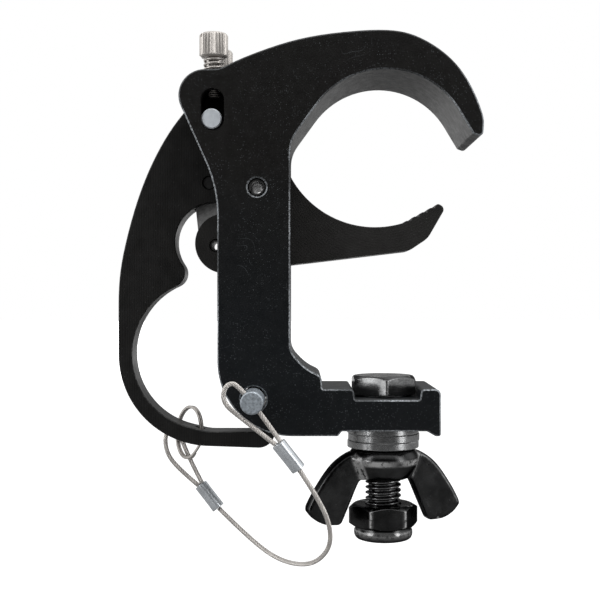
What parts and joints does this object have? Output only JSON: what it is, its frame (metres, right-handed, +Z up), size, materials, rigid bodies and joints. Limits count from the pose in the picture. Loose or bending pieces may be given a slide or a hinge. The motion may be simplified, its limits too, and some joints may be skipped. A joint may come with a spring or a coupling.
{
  "type": "quick-trigger pipe clamp",
  "caption": "Quick-trigger pipe clamp: a hooked body and a pivoting jaw closed by an over-centre lever, with a lanyarded safety pin and a bolt and wing nut for a fixture's yoke.",
  "frame": {"origin": "centre of the gripped pipe, half way across the clamp's thickness", "axes": "+Z up, from the fixture bolt to the hook; +X from the trigger lever to the hook's mouth; -Y towards the side the safety pin is on, which is the viewer's side"},
  "size_m": [0.0994, 0.041, 0.1454],
  "materials": {
    "black_powder_coat": "satin powder coat",
    "black_anodised": "satin black anodised",
    "blasted_steel": "matt blasted",
    "dark_pin_steel": "oiled black steel",
    "ground_steel": "ground",
    "bright_nickel": "bright nickel plate",
    "zinc_steel": "zinc plate",
    "wire_rope": "galvanised strand",
    "zinc_ferrule": "crimped zinc",
    "black_steel": "glossy black zinc plate",
    "grey_nylon": "moulded nylon"
  },
  "bodies": {
    "frame": {"main_body": "black_powder_coat", "jaw_pivot_pin": "dark_pin_steel", "lever_pivot_pin": "ground_steel", "fixture_bolt": "black_steel", "lock_nut": "black_steel", "lock_nut_insert": "grey_nylon", "lanyard_bight": "wire_rope"},
    "trigger": {"trigger_lever": "black_anodised", "lever_link_pin": "dark_pin_steel", "split_ring": "bright_nickel", "lanyard_ring_eye": "wire_rope", "ferrule_ring_end": "zinc_ferrule"},
    "link": {"toggle_link": "blasted_steel"},
    "jaw": {"jaw": "black_anodised", "jaw_link_pin": "dark_pin_steel"},
    "safety": {"safety_pin": "zinc_steel", "lanyard_pin_eye": "wire_rope", "ferrule_pin_end": "zinc_ferrule"},
    "spring_front": {"adjuster_spring_front": "bright_nickel"},
    "adjuster_front": {"adjuster_screw_front": "bright_nickel"},
    "spring_rear": {"adjuster_spring_rear": "bright_nickel"},
    "adjuster_rear": {"adjuster_screw_rear": "bright_nickel"},
    "washers": {"washer_upper": "black_steel", "washer_middle": "black_steel", "washer_lower": "black_steel"},
    "wing_nut": {"wing_nut": "black_steel"}
  },
  "joints": [
    {"name": "lever_swing", "type": "hinge", "parent": "frame", "child": "trigger", "pos_m": [-0.0467, 0, 0.0096], "axis": [0, 1, 0], "range_deg": [0, 60], "deforming": ["lanyard_bight"]},
    {"name": "link_swing", "type": "hinge", "parent": "trigger", "child": "link", "pos_m": [-0.0481, 0, -0.0065], "axis": [0, 1, 0], "range_deg": [-83, 0]},
    {"name": "jaw_swing", "type": "hinge", "parent": "frame", "child": "jaw", "pos_m": [-0.0345, 0, -0.0088], "axis": [0, 1, 0], "range_deg": [0, 38]},
    {"name": "safety_pin_slide", "type": "slide", "parent": "frame", "child": "safety", "axis": [0, 1, 0], "range_m": [-0.0085, 0.006], "deforming": ["lanyard_bight"]},
    {"name": "spring_front_slide", "type": "slide", "parent": "frame", "child": "spring_front", "axis": [0, 0, 1], "range_m": [-0.00175, 0.0015], "deforming": ["adjuster_spring_front"]},
    {"name": "adjuster_front_turn", "type": "hinge", "parent": "spring_front", "child": "adjuster_front", "pos_m": [-0.0464, -0.01, 0.03], "axis": [0, 0, 1], "range_deg": [-1262, 1082]},
    {"name": "spring_rear_slide", "type": "slide", "parent": "frame", "child": "spring_rear", "axis": [0, 0, 1], "range_m": [-0.00175, 0.0015], "deforming": ["adjuster_spring_rear"]},
    {"name": "adjuster_rear_turn", "type": "hinge", "parent": "spring_rear", "child": "adjuster_rear", "pos_m": [-0.0464, 0.01, 0.03], "axis": [0, 0, 1], "range_deg": [-1262, 1082]},
    {"name": "washers_slide", "type": "slide", "parent": "frame", "child": "washers", "axis": [0, 0, 1], "range_m": [-0.00226, 0]},
    {"name": "wing_nut_turn", "type": "hinge", "parent": "washers", "child": "wing_nut", "pos_m": [0.0004, 0, -0.085], "axis": [0, 0, 1], "range_deg": [-540, 0]}
  ],
  "couplings": [
    {"joint": "link_swing", "follows": "lever_swing", "ratio": -1.38},
    {"joint": "jaw_swing", "follows": "lever_swing", "ratio": 0.63},
    {"joint": "adjuster_front_turn", "follows": "spring_front_slide", "rad_per_m": 12566},
    {"joint": "adjuster_rear_turn", "follows": "spring_rear_slide", "rad_per_m": 12566},
    {"joint": "washers_slide", "follows": "wing_nut_turn", "m_per_rad": 0.00023873}
  ]
}
